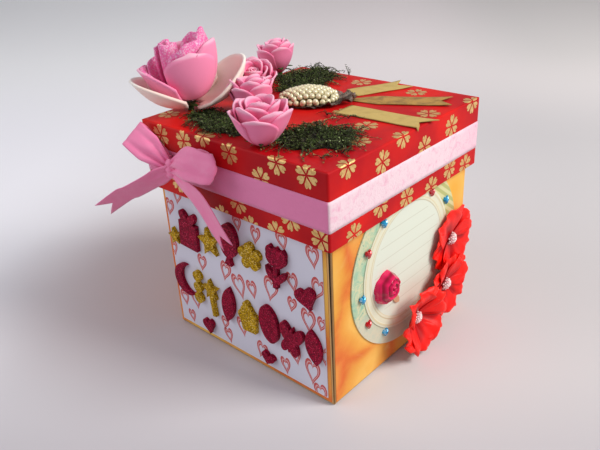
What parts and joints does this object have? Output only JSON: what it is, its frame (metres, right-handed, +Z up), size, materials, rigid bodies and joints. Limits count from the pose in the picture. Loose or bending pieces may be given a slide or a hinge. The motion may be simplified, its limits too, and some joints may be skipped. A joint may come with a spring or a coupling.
{
  "type": "explosion gift box",
  "caption": "Square card gift box of nested fold-out sheets under a lift-off lid with a satin bow, foam roses, pearls and moss; the walls carry foam shapes, a round tag and fabric blossoms",
  "frame": {"origin": "middle of the underside of the outer sheet", "axes": "+Z up; -Y the wall with the heart panel and the bow; +X the wall with the round tag"},
  "size_m": [0.1447, 0.1249, 0.1419],
  "materials": {
    "outer_card": "matte",
    "middle_card": "matte",
    "inner_card": "matte",
    "wall_paper": "matte",
    "heart_paper": "matte",
    "gold_foam": "satin",
    "wine_foam": "satin",
    "tag_paper": "matte",
    "ivory_card": "matte",
    "red_gem": "gloss",
    "blue_gem": "gloss",
    "rosebud_resin": "gloss",
    "leaf_card": "matte",
    "red_cloth": "satin",
    "bead_pink": "gloss",
    "lid_card": "satin",
    "satin": "satin",
    "kraft_paper": "matte",
    "gold_paper": "matte",
    "mesh_cloth": "matte",
    "amber": "gloss",
    "pearl": "gloss",
    "moss": "matte",
    "cream_foam": "matte",
    "pink_foam": "matte",
    "glitter_foam": "satin",
    "sepal_green": "matte",
    "rose_foam": "matte"
  },
  "bodies": {
    "base": {"outer_sheet": "outer_card", "middle_sheet": "middle_card", "inner_sheet": "inner_card", "wall_papers": "wall_paper", "heart_panel": "heart_paper", "foam_little_star": "gold_foam", "foam_gift": "wine_foam", "foam_star": "gold_foam", "foam_balloon": "wine_foam", "foam_blossom": "gold_foam", "foam_tulip": "wine_foam", "foam_heart": "wine_foam", "foam_moon": "wine_foam", "foam_beads": "gold_foam", "foam_wand": "gold_foam", "foam_leaf": "wine_foam", "foam_cake": "gold_foam", "foam_oval": "wine_foam", "foam_butterfly": "wine_foam", "foam_bud": "wine_foam", "foam_little_hearts": "wine_foam", "tag_backing": "tag_paper", "tag_label": "ivory_card", "red_gems": "red_gem", "blue_gems": "blue_gem", "carved_rosebud": "rosebud_resin", "rosebud_leaf": "leaf_card", "upper_blossom": "red_cloth", "middle_blossom": "red_cloth", "lower_blossom": "red_cloth", "upper_blossom_centre": "bead_pink", "middle_blossom_centre": "bead_pink", "lower_blossom_centre": "bead_pink"},
    "lid": {"lid_tray": "lid_card", "lid_ribbon": "satin", "ribbon_bow": "satin", "upper_banner": "kraft_paper", "middle_banner": "gold_paper", "lower_banner": "kraft_paper", "mesh_frill": "mesh_cloth", "pearl_plate": "amber", "pearls": "pearl", "front_moss": "moss", "right_moss": "moss", "back_moss": "moss", "large_rose_cream_petals": "cream_foam", "large_rose_pink_petals": "pink_foam", "large_rose_heart": "glitter_foam", "rose_calyxes": "sepal_green", "front_rose_petals": "rose_foam", "middle_rose_petals": "rose_foam", "side_rose_petals": "rose_foam", "back_rose_petals": "rose_foam", "front_rose_heart": "rose_foam", "middle_rose_heart": "rose_foam", "side_rose_heart": "rose_foam", "back_rose_heart": "rose_foam"}
  },
  "joints": [
    {"name": "lid_lift", "type": "slide", "parent": "base", "child": "lid", "axis": [0, 0, 1], "range_m": [0, 0.12]}
  ]
}
